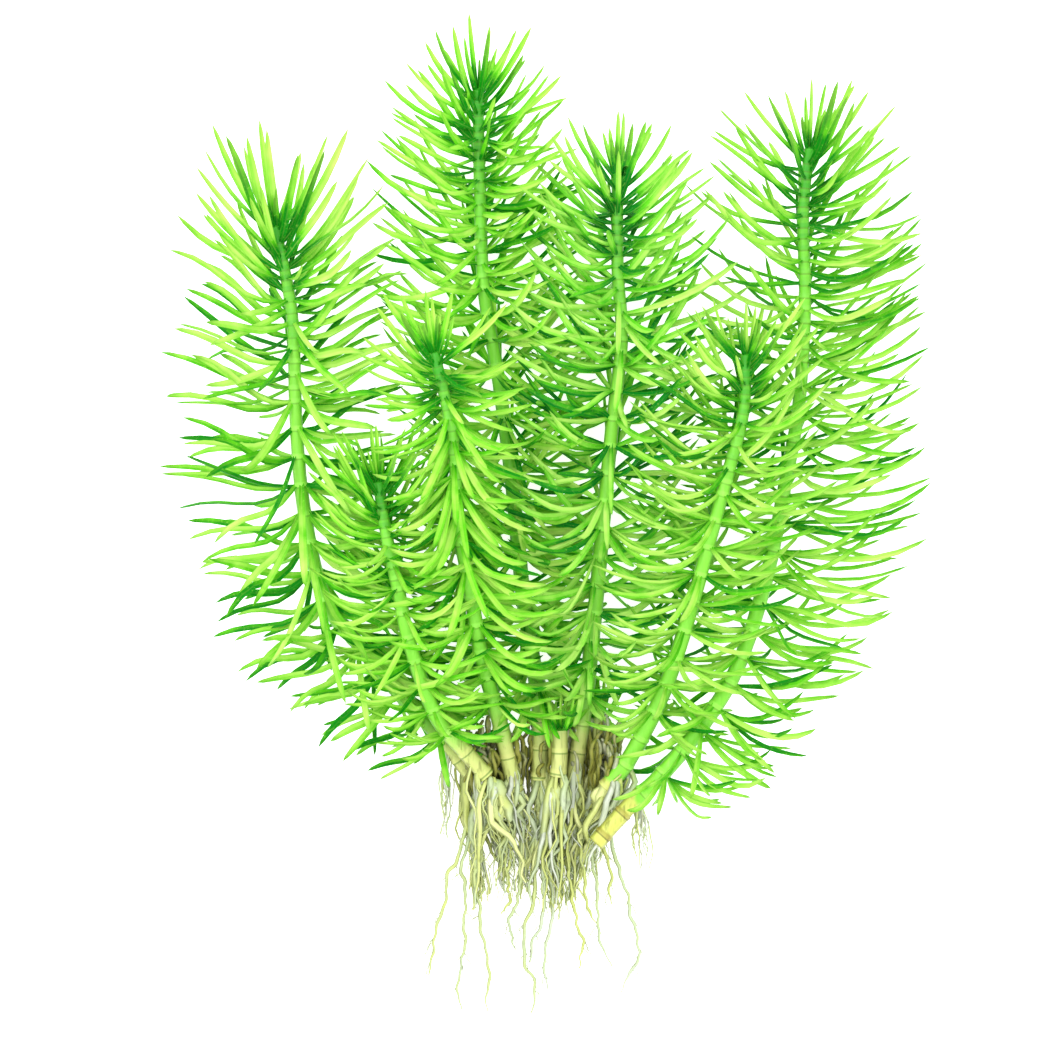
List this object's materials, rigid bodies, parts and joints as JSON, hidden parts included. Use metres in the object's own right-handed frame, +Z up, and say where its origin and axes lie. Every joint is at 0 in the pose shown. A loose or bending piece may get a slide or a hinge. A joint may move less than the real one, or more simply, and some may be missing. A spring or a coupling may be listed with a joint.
{
  "type": "pogostemon deccanensis plant",
  "caption": "Bare-rooted clump of an aquatic stem plant: upright stems with close whorls of narrow pointed leaves, pale stem bases and a tangle of thin trailing roots.",
  "frame": {"origin": "middle of the clump's footprint, on the surface that it lies on", "axes": "+Y along the stems towards the crowns, +X to the right as seen from the front, +Z up, out of the clump's front"},
  "size_m": [0.1939, 0.25, 0.0509],
  "materials": {
    "left_shoot": "satin",
    "tall_back_shoot": "satin",
    "centre_shoot": "satin",
    "right_shoot": "satin",
    "inner_right_shoot": "satin",
    "front_shoot": "satin",
    "small_front_shoot": "satin",
    "short_stem": "satin",
    "root_tangle": "matte"
  },
  "bodies": {
    "root": {"left_shoot": "left_shoot", "tall_back_shoot": "tall_back_shoot", "centre_shoot": "centre_shoot", "right_shoot": "right_shoot", "inner_right_shoot": "inner_right_shoot", "front_shoot": "front_shoot", "small_front_shoot": "small_front_shoot", "short_stem_1": "short_stem", "short_stem_2": "short_stem", "root_tangle": "root_tangle"}
  },
  "joints": []
}
